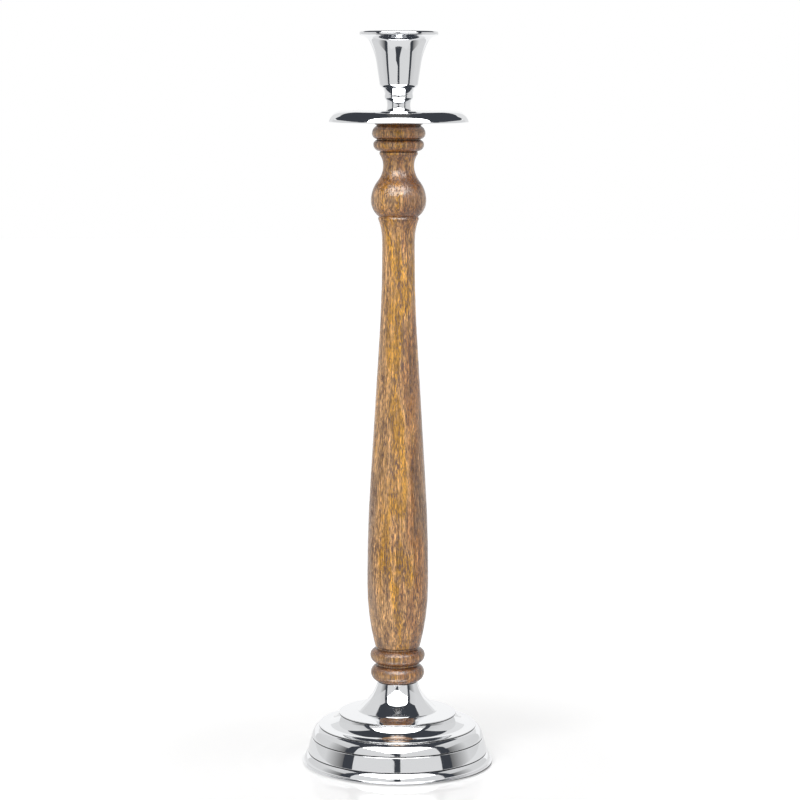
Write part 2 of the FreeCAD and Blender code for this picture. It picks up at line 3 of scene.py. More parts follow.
import bmesh
import bpy
from bpy.props import FloatProperty, FloatVectorProperty, IntProperty, PointerProperty
from bpy.types import Operator, Panel, PropertyGroup
from mathutils import Matrix, Vector, noise


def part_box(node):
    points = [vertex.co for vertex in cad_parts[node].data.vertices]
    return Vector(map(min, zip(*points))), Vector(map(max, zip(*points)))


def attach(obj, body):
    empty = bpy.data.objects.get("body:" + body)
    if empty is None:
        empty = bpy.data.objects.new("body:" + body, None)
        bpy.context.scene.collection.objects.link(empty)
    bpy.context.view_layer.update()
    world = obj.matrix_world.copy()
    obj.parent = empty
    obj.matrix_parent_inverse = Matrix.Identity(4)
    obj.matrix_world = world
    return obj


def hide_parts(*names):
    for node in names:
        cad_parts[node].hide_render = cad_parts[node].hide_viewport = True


bl_info = {
    "name": "Turned candlestick",
    "version": (1, 0, 0),
    "blender": (4, 5, 0),
    "location": "View3D > Sidebar > Candlestick",
    "description": "Dresses a tall candlestick in polished aluminium, turned hardwood and felt",
    "category": "Object",
}

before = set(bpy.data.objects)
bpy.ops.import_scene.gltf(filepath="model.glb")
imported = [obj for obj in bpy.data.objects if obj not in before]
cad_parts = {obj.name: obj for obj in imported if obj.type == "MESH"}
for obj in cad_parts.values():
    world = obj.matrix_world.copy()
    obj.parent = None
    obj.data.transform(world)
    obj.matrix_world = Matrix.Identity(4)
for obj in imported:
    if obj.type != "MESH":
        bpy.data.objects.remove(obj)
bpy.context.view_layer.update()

MM = 0.001


# Properties

def length(name, millimetres, description):
    """A size that a user can change, given in millimetres and kept in metres."""
    return FloatProperty(
        name=name, description=description, default=millimetres * MM, unit="LENGTH", precision=5,
    )


def share(name, part, description):
    """A plain share of some other size or strength."""
    return FloatProperty(name=name, description=description, default=part, precision=4)


def count(name, number, description):
    """A whole number."""
    return IntProperty(name=name, description=description, default=number, min=3)


def colour(name, red, green, blue, description):
    """A linear colour."""
    return FloatVectorProperty(
        name=name, description=description, default=(red, green, blue), subtype="COLOR",
        min=0, max=1, size=3,
    )


def stretch(name, across, up, description):
    """Two sizes of one stretch of an outline, in millimetres: how far it goes across, and up."""
    return FloatVectorProperty(
        name=name, description=description + ": across, and up", default=(across * MM, up * MM),
        unit="LENGTH", size=2, precision=5,
    )


class BaseSizes(PropertyGroup):
    """The base casting, from its foot up to its neck."""

    steps: count("Steps", 240, "Facets round the axis")
    edge: length("Edge", 0.22, "How far polishing has rounded each sharp edge")
    draft: share("Draft", 0.17, "Lean of the upright walls, as run over rise")
    foot_edge: length("Foot edge", 0.5, "Round where the foot meets its underside")
    foot_sweep: stretch("Foot sweep", 1.44, 1.1, "Draws the foot in above its edge")
    skirt: stretch("Skirt", 2.25, 4.5, "Draws in over the foot")
    skirt_bulge: share("Skirt bulge", 0.085, "Rise of the skirt over its chord")
    band_seat: stretch("Band seat", 0.25, 0.2, "Steps in from the skirt to the band")
    band: stretch("Band", 2.4, 9.65, "Draws in over the skirt")
    band_bulge: share("Band bulge", 0.018, "Rise of the band over its chord")
    band_edge: stretch("Band edge", 0.3, 0.25, "Bevel on top of the band")
    line_depth: length("Line depth", 0.65, "Depth of the fine turned lines between the steps")
    line_height: length("Line height", 0.65, "Height of those lines")
    crease_height: length("Crease height", 0.2, "Height of the crease over the band")
    shoulder: stretch("Shoulder", 1.6, 4.1, "The shoulder's steep lower part")
    shoulder_bulge: share("Shoulder bulge", 0.035, "Rise of that part over its chord")
    shoulder_top: stretch("Shoulder top", 3.3, 3.0, "The shoulder's upper part")
    shoulder_top_bulge: share("Shoulder top bulge", 0.075, "Rise of that part over its chord")
    lower_edge_height: length("Lower edge height", 0.1, "Upright edge of the lower ledge")
    lower_edge_round: length("Lower edge round", 0.35, "Bevel on the lower ledge's rim")
    lower_ledge: stretch("Lower ledge", 2.95, 0.2, "Rises a little towards its cove")
    cove: stretch("Cove", 8.7, 3.78, "The cove's flatter lower part")
    cove_top: stretch("Cove top", 2.0, 3.3, "The cove's steeper upper part")
    cove_top_bulge: share("Cove top bulge", 0.055, "Depth of that part under its chord")
    upper_edge: stretch("Upper edge", 0.1, 0.2, "The upper ledge's edge, which leans in")
    upper_edge_round: length("Upper edge round", 0.4, "Bevel on the upper ledge's rim")
    upper_ledge: stretch("Upper ledge", 11.8, 1.3, "Rises a little towards the cone")
    fillet: stretch("Fillet", 1.6, 0.8, "Hollow curve at the cone's foot")
    cone: stretch("Cone", 6.2, 6.2, "Draws in straight to the neck")
    sweep: stretch("Neck sweep", 7.0, 13.2, "Hollow curve of the neck over the cone")
    sweep_bulge: share("Neck sweep bulge", 0.064, "Depth of that sweep under its chord")
    neck_edge: length("Neck edge", 0.5, "Bevel on the neck's top")
    wall: length("Wall", 3.0, "Thickness of the casting")
    foot_rim: length("Foot rim", 10.0, "Width of the ring that the felt is glued to")
    plate: length("Neck plate", 4.0, "Thickness of the plate that the rod hangs from")
    pocket_depth: length("Pocket depth", 2.6, "Depth of the washer's pocket under the plate")
    pocket_radius: length("Pocket radius", 9.5, "Radius of the washer's pocket")


class StemSizes(PropertyGroup):
    """The turned stem, from its foot up to the drip pan."""

    steps: count("Steps", 160, "Facets round the axis")
    edge: length("Edge", 0.3, "How far sanding has rounded each sharp edge")
    foot_inset: length("Foot inset", 1.1, "How far the foot draws in under its first bead")
    lip: length("Lip", 0.7, "Depth of the grooves beside the foot beads")
    lip_rise: length("Lip rise", 0.4, "Height of each groove's slanted side")
    groove_height: length("Groove height", 1.0, "Height of each groove's floor")
    foot_bead: stretch("Foot bead", 4.1, 11.2, "Lowest bead, measured out of the groove")
    ankle_bead: stretch("Ankle bead", 4.5, 10.0, "Second bead, measured out of the groove")
    bead_widest: share("Bead's widest", 0.54, "Where the foot beads are widest")
    shaft_lip: length("Shaft lip", 1.1, "How far the shaft's foot stands out of the groove")
    belly: stretch("Belly", 5.6, 43.5, "Swells over the shaft's foot")
    belly_land: length("Belly land", 8.0, "Height of the belly's widest stretch")
    lower_shaft: stretch("Lower shaft", 2.15, 66.0, "Draws in over the belly")
    middle_shaft: stretch("Middle shaft", 5.1, 84.0, "Draws in straight")
    upper_shaft: stretch("Upper shaft", 2.75, 76.0, "Draws in to the throat")
    throat_height: length("Throat height", 6.0, "Height of the slimmest stretch")
    collar: stretch("Collar", 2.9, 15.0, "Flares over the throat")
    collar_edge: length("Collar edge", 1.3, "Height of the collar's top edge")
    bulb: stretch("Bulb", 5.5, 11.0, "From the collar to the bulb's widest")
    bulb_turn: share("Bulb's turn", 0.56, "Where the bulb turns from round to hollow")
    vase_neck: stretch("Vase neck", 8.35, 23.9, "Draws in from the bulb's widest")
    vase_flare: stretch("Vase flare", 2.5, 7.6, "Flares over the vase neck")
    vase_edge: length("Vase edge", 1.2, "Height of the vase neck's rim")
    vase_groove: length("Vase groove", 0.5, "Depth and half height of the groove over the rim")
    neck_bead_seat: length("Neck bead seat", 0.8, "Step from the groove to the neck bead")
    neck_bead: stretch("Neck bead", 3.9, 7.6, "Bead over the vase neck, measured out of its seat")
    neck_bead_fall: length("Neck bead fall", 2.3, "How far the neck bead draws in at its top")
    neck_bead_widest: share("Neck bead's widest", 0.58, "Where the neck bead is widest")
    top_groove_height: length("Top groove", 0.6, "Height of the groove between the top beads")
    top_bead: stretch("Top bead", 3.25, 9.0, "Highest bead, measured out of its groove")
    top_bead_widest: share("Top bead's widest", 0.41, "Where the top bead is widest")
    top_neck: stretch("Top neck", 1.5, 1.2, "Slant from the groove out to the top neck")
    foot_radius: length("Foot radius", 13.4, "Radius of the face that stands on the base")
    bore_radius: length("Bore radius", 3.75, "Radius of the bore for the rod")


class PanSizes(PropertyGroup):
    """The drip pan."""

    steps: count("Steps", 240, "Facets round the axis")
    edge: length("Edge", 0.15, "How far polishing has rounded each sharp edge")
    thickness: length("Thickness", 2.0, "Thickness of the pan")
    shoulder: stretch("Shoulder", 9.4, 7.3, "Turns down at the pan's edge")
    edge_bulge: share("Edge bulge", 0.3, "Rise of the rounded edge over its chord")
    hole_radius: length("Hole radius", 3.3, "Radius of the hole for the rod")


class CupSizes(PropertyGroup):
    """The candle cup, from its foot up to its lip and down into the socket."""

    steps: count("Steps", 200, "Facets round the axis")
    edge: length("Edge", 0.15, "How far polishing has rounded each sharp edge")
    waist: stretch("Waist", 0.7, 7.6, "Draws the foot in and lets it out again")
    waist_narrowest: share("Waist's narrowest", 0.46, "Where the waist is narrowest")
    ring_seat: length("Ring seat", 0.6, "Step from the foot to the ring")
    ring_proud: length("Ring", 0.5, "How far the ring bulges out of its seat")
    ring_fall: length("Ring fall", 0.25, "How far the ring draws in at its top")
    ring_height: length("Ring height", 3.7, "Height of the ring")
    cove: stretch("Cove", 1.3, 3.9, "Hollow curve over the ring")
    cove_bulge: share("Cove bulge", 0.03, "Depth of that cove under its chord")
    step: stretch("Step", 1.1, 0.4, "Steps out under the body")
    heel: stretch("Heel", 1.4, 3.4, "Round at the body's foot")
    body: stretch("Body", 1.65, 10.9, "Widens upward")
    flare: stretch("Flare", 5.3, 17.0, "Hollow curve over the body")
    flare_bulge: share("Flare bulge", 0.046, "Depth of the flare under its chord")
    lip: stretch("Lip", 5.2, 3.8, "The lip's underside")
    lip_bulge: share("Lip bulge", 0.11, "Depth of the lip's underside under its chord")
    lip_edge: stretch("Lip edge", 1.5, 1.2, "Round under the lip's edge")
    lip_land: length("Lip land", 0.5, "Height of the lip's upright edge")
    lip_round: length("Lip round", 1.2, "Round on top of the lip's edge")
    mouth: stretch("Mouth", 3.1, 0.9, "Rolled rim that falls inward from the lip")
    mouth_flare: length("Mouth flare", 20.1, "Height of the mouth's inner flare")
    socket_radius: length("Socket radius", 11.4, "Radius of the candle socket")
    socket_length: length("Socket length", 11.0, "Length of the straight socket")
    tapped_radius: length("Tapped hole radius", 3.1, "Radius of the tapped hole in the foot")
    tapped_depth: length("Tapped hole depth", 16.0, "Depth of the tapped hole in the foot")


class FeltSizes(PropertyGroup):
    """The felt disc under the foot."""

    steps: count("Steps", 320, "Facets round the axis")
    edge: length("Edge", 0.15, "Round of the cut edge")
    ragged: length("Raggedness", 0.1, "How far fibres draw the cut edge in")
    tuft: length("Tuft", 1.1, "Size of the tufts along the cut edge")


class MetalFinish(PropertyGroup):
    """Polished aluminium."""

    tint: colour("Tint", 0.90, 0.91, 0.925, "Colour of the polished metal")
    gloss: share("Roughness", 0.035, "Least roughness of the mirror polish")
    haze: share("Haze", 0.05, "Extra roughness where the polish is worn")
    ring_spacing: length("Ring spacing", 0.55, "Spacing of the fine lines that the polishing wheel left")
    ring_depth: length("Ring depth", 0.0012, "Depth of those lines")
    ripple_size: length("Ripple size", 14.0, "Size of the soft ripples in the casting")
    ripple_depth: length("Ripple depth", 0.02, "Depth of the soft ripples")
    # Painted shade: the next two sizes set how far out of a crease the polish is darkened, and to what
    # colour.
    crease_shade_reach: length("Crease reach", 1.2, "How far out of a crease its polish stays dark")
    crease_shade_tint: colour("Crease tint", 0.05, 0.048, 0.05, "Colour of the polish left in a crease")


class WoodFinish(PropertyGroup):
    """Turned hardwood with a satin lacquer."""

    gold: colour("Gold", 0.66, 0.315, 0.038, "Colour of the golden heart streak")
    pale: colour("Pale", 0.71, 0.38, 0.14, "Colour of the peach-coloured wood beside it")
    tan: colour("Tan", 0.58, 0.32, 0.13, "Colour of the tan wood")
    # Brown lies only on the right of the stem, where it stands for painted shade.
    brown: colour("Brown", 0.47, 0.21, 0.07, "Colour of the brown wood")
    # Painted sheen: the greyish colour at both sides of the stem, where it turns away.
    edge_sheen: colour("Grey", 0.42, 0.24, 0.12, "Colour of the greyish outer wood")
    pore: colour("Pore", 0.10, 0.032, 0.009, "Colour of the open pores")
    # Painted shade: the colour that the wood darkens to in its grooves and under the drip pan.
    painted_shade: colour("Stain", 0.03, 0.012, 0.006, "Colour of the stain that pooled in grooves")
    gloss: share("Roughness", 0.17, "Roughness of the lacquer")
    pore_width: length("Pore width", 0.75, "Width of a pore streak")
    pore_length: length("Pore length", 4.5, "Length of a pore streak")
    pore_depth: length("Pore depth", 0.10, "Depth of the pores under the lacquer")
    # Painted shade: how far out of a groove the wood is darkened.
    groove_shade_reach: length("Groove reach", 3.2, "How far out of a groove the stain reaches")
    board_width: length("Board width", 42.0, "Width over which the wood's colours repeat")
    end_grain: colour("End grain", 0.60, 0.47, 0.40, "Darkening where the turning cuts across the grain")


class StudioSettings(PropertyGroup):
    """Camera, floor and lamps."""

    focal_length: FloatProperty(
        name="Focal length", description="Lens, in millimetres of a 36 mm wide frame", default=112.5,
        unit="CAMERA",
    )
    distance: length("Distance", 1715.9, "From the lens to the turning axis, along the floor")
    eye_height: length("Eye height", 470.8, "Height of the lens over the floor")
    eye_right: length("Eye right", 0.8, "How far right of the axis the lens stands")
    pitch: FloatProperty(
        name="Pitch", description="How far the lens looks down", default=math.radians(7.15),
        subtype="ANGLE",
    )
    roll: FloatProperty(
        name="Roll", description="How far the camera leans to the left", default=math.radians(0.13),
        subtype="ANGLE",
    )
    floor_reach: length("Floor reach", 6000.0, "Half width of the floor")


class Candlestick(PropertyGroup):
    """All sizes and finishes of the candlestick."""

    base: PointerProperty(type=BaseSizes)
    stem: PointerProperty(type=StemSizes)
    pan: PointerProperty(type=PanSizes)
    cup: PointerProperty(type=CupSizes)
    felt: PointerProperty(type=FeltSizes)
    metal: PointerProperty(type=MetalFinish)
    wood: PointerProperty(type=WoodFinish)
    studio: PointerProperty(type=StudioSettings)


# Turning

ARC_STEP = math.radians(4)
SHARP_TURN = math.radians(5)
EDGE_POINTS = 5
EDGE_SHARE = 0.4
ARC_PIECES = 3
LINE_SIDE = 0.3
LINE_FLOOR = 0.4
TOUCHING = 1e-4 * MM
PLACE_ROOM = 0.3 * MM


class Outline:
    """Half of a turned section, drawn step by step; the material lies to its left."""

    def __init__(self, radius, height):
        self.points = [Vector((radius, height))]
        self.centres = []

    def line(self, out, up):
        """Go straight, outward and upward by the given steps."""
        self.points.append(self.points[-1] + Vector((out, up)))
        self.centres.append(None)

    def to(self, radius, height):
        """Go straight to a radius and a height."""
        self.line(radius - self.points[-1].x, height - self.points[-1].y)

    def upright(self, out, up, at):
        """Go round an arc that runs upright at its start or its end."""
        near, far = self.arc_ends(out, up, at)
        reach = (far - near).length_squared / 2
        self.centres[-1] = near + Vector((reach / (far.x - near.x), 0))

    def flat(self, out, up, at):
        """Go round an arc that runs flat at its start or its end."""
        near, far = self.arc_ends(out, up, at)
        reach = (far - near).length_squared / 2
        self.centres[-1] = near + Vector((0, reach / (far.y - near.y)))

    def arc_ends(self, out, up, at):
        """Add the end of an arc, and give the end that it is true at first."""
        self.line(out, up)
        start, end = self.points[-2:]
        return (start, end) if at == "start" else (end, start)

    def bulged(self, out, up, bulge):
        """Go round an arc that rises over its chord by a share of it, or sinks with a minus."""
        self.line(out, up)
        start, end = self.points[-2:]
        side = Vector((end.y - start.y, start.x - end.x))
        distance = (1 - 4 * bulge ** 2) / (8 * bulge)
        self.centres[-1] = (start + end) / 2 - side * distance

    def bead(self, proud, fall, height, widest):
        """Turn a bead: out to its widest, then in to its top."""
        self.upright(proud, height * widest, "end")
        self.upright(-fall, height * (1 - widest), "start")

    def run(self, index, part):
        """The point at a share of the way along a run, and the run's direction there."""
        start, end = self.points[index:index + 2]
        centre = self.centres[index]
        if centre is None:
            return start.lerp(end, part), (end - start).normalized()
        spoke = start - centre
        sweep = self.sweep(index)
        point = centre + Matrix.Rotation(sweep * part, 2) @ spoke
        quarter = math.copysign(math.pi / 2, sweep)
        return point, (Matrix.Rotation(sweep * part + quarter, 2) @ spoke).normalized()

    def sweep(self, index):
        """The angle that an arc turns through."""
        centre = self.centres[index]
        spoke = self.points[index] - centre
        last = self.points[index + 1] - centre
        return math.atan2(spoke.x * last.y - spoke.y * last.x, spoke.dot(last))

    def length(self, index):
        """The length of a run."""
        if self.centres[index] is None:
            return (self.points[index + 1] - self.points[index]).length
        return abs(self.sweep(index)) * (self.points[index] - self.centres[index]).length

    def sampled(self, edge, closed):
        """Points along the outline, with the direction there, and its sharp corners rounded."""
        runs = range(len(self.centres))
        cuts = [[0.0, 0.0] for _ in runs]
        corners = {}
        for index in runs:
            following = (index + 1) % len(self.centres)
            if following == 0 and not closed:
                continue
            turn = self.run(index, 1)[1].angle(self.run(following, 0)[1])
            if turn > SHARP_TURN:
                cuts[index][1] = min(edge / self.length(index), EDGE_SHARE)
                cuts[following][0] = min(edge / self.length(following), EDGE_SHARE)
                corners[index] = following
        samples = []
        for index in runs:
            first, last = cuts[index][0], 1 - cuts[index][1]
            pieces = 1
            if self.centres[index] is not None:
                pieces = max(ARC_PIECES, math.ceil(abs(self.sweep(index)) / ARC_STEP))
            for number in range(pieces + 1):
                samples.append(self.run(index, first + (last - first) * number / pieces))
            if index in corners:
                following = corners[index]
                end = self.run(following, cuts[following][0])[0]
                samples += rounded_corner(samples[-1][0], self.points[index + 1], end)
        return without_repeats(samples)


def rounded_corner(start, corner, end):
    """Points of a smooth curve that cuts a corner."""
    samples = []
    for number in range(1, EDGE_POINTS):
        part = number / EDGE_POINTS
        first, second = start.lerp(corner, part), corner.lerp(end, part)
        samples.append((first.lerp(second, part), (second - first).normalized()))
    return samples


def without_repeats(samples):
    """Drop each point that lies on the one before."""
    kept = [samples[0]]
    for point, direction in samples[1:]:
        if (point - kept[-1][0]).length > TOUCHING:
            kept.append((point, direction))
    return kept


def lathe(name, outline, steps, edge, closed=True, centre=(0, 0)):
    """Turn an outline about an upright axis into a smooth mesh object."""
    samples = outline.sampled(edge, closed)
    if closed and (samples[0][0] - samples[-1][0]).length < TOUCHING:
        samples.pop()
    mesh = bpy.data.meshes.new(name)
    shape = bmesh.new()
    normals = []
    rings = []
    for point, direction in samples:
        if point.x < TOUCHING:
            rings.append([shape.verts.new((centre[0], centre[1], point.y))])
            normals.append(Vector((0, 0, math.copysign(1, -direction.x))))
            continue
        ring = []
        for step in range(steps):
            angle = math.tau * step / steps
            across, along = math.cos(angle), math.sin(angle)
            place = (centre[0] + point.x * across, centre[1] + point.x * along, point.y)
            ring.append(shape.verts.new(place))
            normals.append(Vector((direction.y * across, direction.y * along, -direction.x)))
        rings.append(ring)
    pairs = list(zip(rings, rings[1:]))
    if closed:
        pairs.append((rings[-1], rings[0]))
    for lower, upper in pairs:
        bridge(shape, lower, upper, steps)
    shape.to_mesh(mesh)
    shape.free()
    mesh.shade_smooth()
    mesh.normals_split_custom_set_from_vertices(normals)
    return bpy.data.objects.new(name, mesh)


def bridge(shape, lower, upper, steps):
    """Join two rings, or a ring and a point on the axis, with faces."""
    for step in range(steps):
        following = (step + 1) % steps
        if len(lower) == 1:
            shape.faces.new((lower[0], upper[following], upper[step]))
        elif len(upper) == 1:
            shape.faces.new((lower[step], lower[following], upper[0]))
        else:
            shape.faces.new((lower[step], lower[following], upper[following], upper[step]))


def stand_for(piece, node, material):
    """Show a piece in place of the part's own node, once it is sure to fill the same box."""
    lowest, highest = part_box(node)
    corners = [vertex.co for vertex in piece.data.vertices]
    for axis in range(3):
        low = min(corner[axis] for corner in corners)
        high = max(corner[axis] for corner in corners)
        if max(abs(low - lowest[axis]), abs(high - highest[axis])) > PLACE_ROOM:
            raise RuntimeError("%s doesn't fill the place of %s" % (piece.name, node))
    bpy.context.scene.collection.objects.link(piece)
    piece.data.materials.append(material)
    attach(piece, "root")
    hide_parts(node)


# Outlines

def inward(stretch_sizes):
    """A stretch's two sizes, drawn towards the axis."""
    across, up = stretch_sizes
    return -across, up


def base_outline(sizes):
    """The base casting's section, outside and inside."""
    lowest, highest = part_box("base_casting")
    outline = Outline(highest.x - sizes.foot_rim, lowest.z)
    outline.to(highest.x - sizes.foot_edge, lowest.z)
    outline.upright(sizes.foot_edge, sizes.foot_edge, "end")
    outline.upright(*inward(sizes.foot_sweep), "end")
    outline.bulged(*inward(sizes.skirt), sizes.skirt_bulge)
    outline.line(*inward(sizes.band_seat))
    turned_line(outline, sizes)
    outline.bulged(*inward(sizes.band), sizes.band_bulge)
    outline.line(*inward(sizes.band_edge))
    crease = outline.points[-1]
    turned_line(outline, sizes)
    outline.line(-sizes.crease_height * sizes.draft, sizes.crease_height)
    shoulder = outline.points[-1]
    outline.bulged(*inward(sizes.shoulder), sizes.shoulder_bulge)
    outline.bulged(*inward(sizes.shoulder_top), sizes.shoulder_top_bulge)
    outline.line(-sizes.lower_edge_height * sizes.draft, sizes.lower_edge_height)
    turned_line(outline, sizes)
    outline.line(-sizes.lower_edge_round, sizes.lower_edge_round)
    lower_rim = outline.points[-1]
    outline.line(*inward(sizes.lower_ledge))
    cove = outline.points[-1]
    outline.flat(*inward(sizes.cove), "start")
    outline.bulged(*inward(sizes.cove_top), -sizes.cove_top_bulge)
    outline.line(*inward(sizes.upper_edge))
    turned_line(outline, sizes)
    upper_edge = outline.points[-1]
    outline.line(-sizes.upper_edge_round, sizes.upper_edge_round)
    upper_rim = outline.points[-1]
    outline.line(*inward(sizes.upper_ledge))
    fillet = outline.points[-1]
    outline.flat(*inward(sizes.fillet), "start")
    outline.line(*inward(sizes.cone))
    outline.bulged(*inward(sizes.sweep), -sizes.sweep_bulge)
    outline.line(-sizes.neck_edge, sizes.neck_edge)

    pan = bpy.context.scene.candlestick.pan
    plate_level = highest.z - sizes.plate
    wall = sizes.wall
    outline.to(pan.hole_radius, highest.z)
    outline.to(pan.hole_radius, plate_level)
    outline.to(sizes.pocket_radius, plate_level)
    outline.to(sizes.pocket_radius, plate_level - sizes.pocket_depth)
    outline.to(fillet.x - sizes.fillet[0], fillet.y - wall)
    outline.to(upper_edge.x - wall, upper_rim.y - wall)
    outline.to(upper_edge.x - wall, cove.y + sizes.cove[1])
    outline.to(cove.x - wall, cove.y - wall)
    outline.to(lower_rim.x - wall, lower_rim.y - wall)
    outline.to(shoulder.x - wall, crease.y)
    outline.to(highest.x - sizes.foot_rim, lowest.z)
    return outline


def turned_line(outline, sizes):
    """Cut a fine line with slanted sides into the base's wall."""
    outline.line(-sizes.line_depth, sizes.line_height * LINE_SIDE)
    outline.line(0, sizes.line_height * LINE_FLOOR)
    outline.line(sizes.line_depth, sizes.line_height * LINE_SIDE)


def stem_outline(sizes):
    """The stem's section, from its foot up and down its bore."""
    lowest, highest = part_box("turned_stem")
    outline = Outline(sizes.bore_radius, lowest.z)
    outline.to(sizes.foot_radius, lowest.z)
    outline.line(sizes.foot_inset, sizes.lip_rise)
    proud, height = sizes.foot_bead
    outline.bead(proud, proud - sizes.lip, height, sizes.bead_widest)
    groove(outline, sizes, sizes.lip)
    proud, height = sizes.ankle_bead
    outline.bead(proud - sizes.lip, proud - sizes.lip, height, sizes.bead_widest)
    groove(outline, sizes, sizes.shaft_lip)
    outline.upright(*sizes.belly, "end")
    outline.line(0, sizes.belly_land)
    outline.upright(*inward(sizes.lower_shaft), "start")
    outline.line(*inward(sizes.middle_shaft))
    outline.upright(*inward(sizes.upper_shaft), "end")
    outline.line(0, sizes.throat_height)
    outline.upright(*sizes.collar, "start")
    outline.line(-sizes.collar_edge / 2, sizes.collar_edge)
    outline.upright(*sizes.bulb, "end")
    draw, rise = inward(sizes.vase_neck)
    round_part, hollow_part = sizes.bulb_turn, 1 - sizes.bulb_turn
    outline.upright(draw * round_part, rise * round_part, "start")
    outline.upright(draw * hollow_part, rise * hollow_part, "end")
    outline.upright(*sizes.vase_flare, "start")
    outline.line(0, sizes.vase_edge)
    outline.line(-sizes.vase_groove, sizes.vase_groove)
    outline.line(sizes.neck_bead_seat, sizes.vase_groove)
    proud, height = sizes.neck_bead
    outline.bead(proud, sizes.neck_bead_fall, height, sizes.neck_bead_widest)
    outline.line(0, sizes.top_groove_height)
    proud, height = sizes.top_bead
    outline.bead(proud, proud, height, sizes.top_bead_widest)
    outline.line(*sizes.top_neck)
    outline.to(outline.points[-1].x, highest.z)
    outline.to(sizes.bore_radius, highest.z)
    outline.to(sizes.bore_radius, lowest.z)
    return outline


def groove(outline, sizes, next_lip):
    """Cut a narrow groove between two turned members of the stem's foot."""
    outline.line(-sizes.lip, sizes.lip_rise)
    outline.line(0, sizes.groove_height)
    outline.line(next_lip, sizes.lip_rise)


def pan_outline(sizes):
    """The drip pan's section: a flat plate with a shoulder that turns down."""
    lowest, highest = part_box("drip_pan")
    width, drop = sizes.shoulder
    turned = 1 - 2 * sizes.thickness * drop / (width ** 2 + drop ** 2)
    inner_width, inner_drop = width * turned, drop * turned
    underside = highest.z - sizes.thickness
    outline = Outline(sizes.hole_radius, underside)
    outline.to(highest.x - width, underside)
    outline.flat(inner_width, -inner_drop, "start")
    outline.bulged(width - inner_width, sizes.thickness - drop + inner_drop, sizes.edge_bulge)
    outline.flat(-width, drop, "end")
    outline.to(sizes.hole_radius, highest.z)
    outline.to(sizes.hole_radius, underside)
    return outline


def cup_outline(sizes):
    """The cup's section, from the tapped hole round the outside and down into the socket."""
    lowest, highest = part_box("candle_cup")
    across = [sizes.ring_seat, sizes.ring_proud - sizes.ring_fall]
    for part in (sizes.cove, sizes.step, sizes.heel, sizes.body, sizes.flare, sizes.lip, sizes.lip_edge):
        across.append(part[0])
    outline = Outline(0, lowest.z + sizes.tapped_depth)
    outline.line(sizes.tapped_radius, 0)
    outline.to(sizes.tapped_radius, lowest.z)
    outline.to(highest.x - sum(across), lowest.z)
    depth, height = sizes.waist
    outline.upright(-depth, height * sizes.waist_narrowest, "end")
    outline.upright(depth, height * (1 - sizes.waist_narrowest), "start")
    outline.line(sizes.ring_seat, 0)
    outline.upright(sizes.ring_proud, sizes.ring_height / 2, "end")
    outline.upright(-sizes.ring_fall, sizes.ring_height / 2, "start")
    outline.bulged(*sizes.cove, -sizes.cove_bulge)
    outline.line(*sizes.step)
    outline.upright(*sizes.heel, "end")
    outline.line(*sizes.body)
    outline.bulged(*sizes.flare, -sizes.flare_bulge)
    outline.bulged(*sizes.lip, -sizes.lip_bulge)
    outline.upright(*sizes.lip_edge, "end")
    outline.line(0, sizes.lip_land)
    outline.upright(-sizes.lip_round, sizes.lip_round, "start")
    outline.flat(-sizes.mouth[0], -sizes.mouth[1], "start")
    outline.upright(sizes.socket_radius - outline.points[-1].x, -sizes.mouth_flare, "end")
    outline.line(0, -sizes.socket_length)
    outline.to(0, outline.points[-1].y)
    return outline


def felt_outline():
    """The felt disc's section, from the middle of its underside to the middle of its top."""
    lowest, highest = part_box("base_felt")
    radius = (highest.x - lowest.x) / 2
    outline = Outline(0, lowest.z)
    outline.line(radius, 0)
    outline.line(0, highest.z - lowest.z)
    outline.line(-radius, 0)
    return outline


# Materials

AO_SAMPLES = 8

# Metal: the range of noise that wears the polish, how many worn spots a ripple holds, and how
# open a place is where the painted shade in a crease ends
WORN_NOISE = (0.35, 0.75)
WORN_SPOTS = 3
CREASE_SHADE_OPEN = (0.45, 0.8)

# Wood patterns: width and length of a cell in millimetres, detail, the range of noise used, and
# what it becomes at both ends of that range
SWAY = (18, 80, 4.0, 0.28, 0.72, -15 * MM, 15 * MM)
BANDS = (2.4, 90, 2.0, 0.36, 0.64, 0.66, 1.22)
STREAKS = (1.0, 20, 3.0, 0.36, 0.64, 0.58, 1.32)
FLECKS = (0.75, 3.6, 1.5, 0.32, 0.68, 0.5, 1.42)
CLUSTERS = (6, 45, 3.0, 0.38, 0.62, 0.06, -0.06)
GRAIN_ROUGHNESS = 0.6

# The board's colours from one side of the stem to the other, and where each of them lies. The gold
# heart streak is the wood's own; the lighter left side and the darker right side are painted light
# and shade, and the grey at both ends is a painted sheen where the stem turns away
BOARD = (
    (0.02, "edge_sheen"), (0.14, "tan"), (0.32, "pale"), (0.45, "gold"),
    (0.55, "gold"), (0.63, "pale"), (0.76, "brown"), (0.97, "edge_sheen"),
)
FOOT_SHADE_REACH = (22 * MM, 50 * MM)
FOOT_SHADE = 0.8
END_GRAIN_TILT = (0.12, 0.7)
PORE_DETAIL = 2.5
PORE_NOISE = (0.52, 0.62)
PORE_COVER = 0.92
PORE_GLOSS = 0.55
DENT_STRENGTH = 0.8
# Painted shade in the grooves: the range of openness over which it fades, and its strength
GROOVE_SHADE_OPEN = (0.35, 0.8)
GROOVE_SHADE = 0.9
# Painted shadow under the drip pan: the depths below the stem's top over which it fades in, and its
# strength
PAN_SHADOW_REACH = (7.7 * MM, 7.0 * MM)
PAN_SHADOW = 0.95

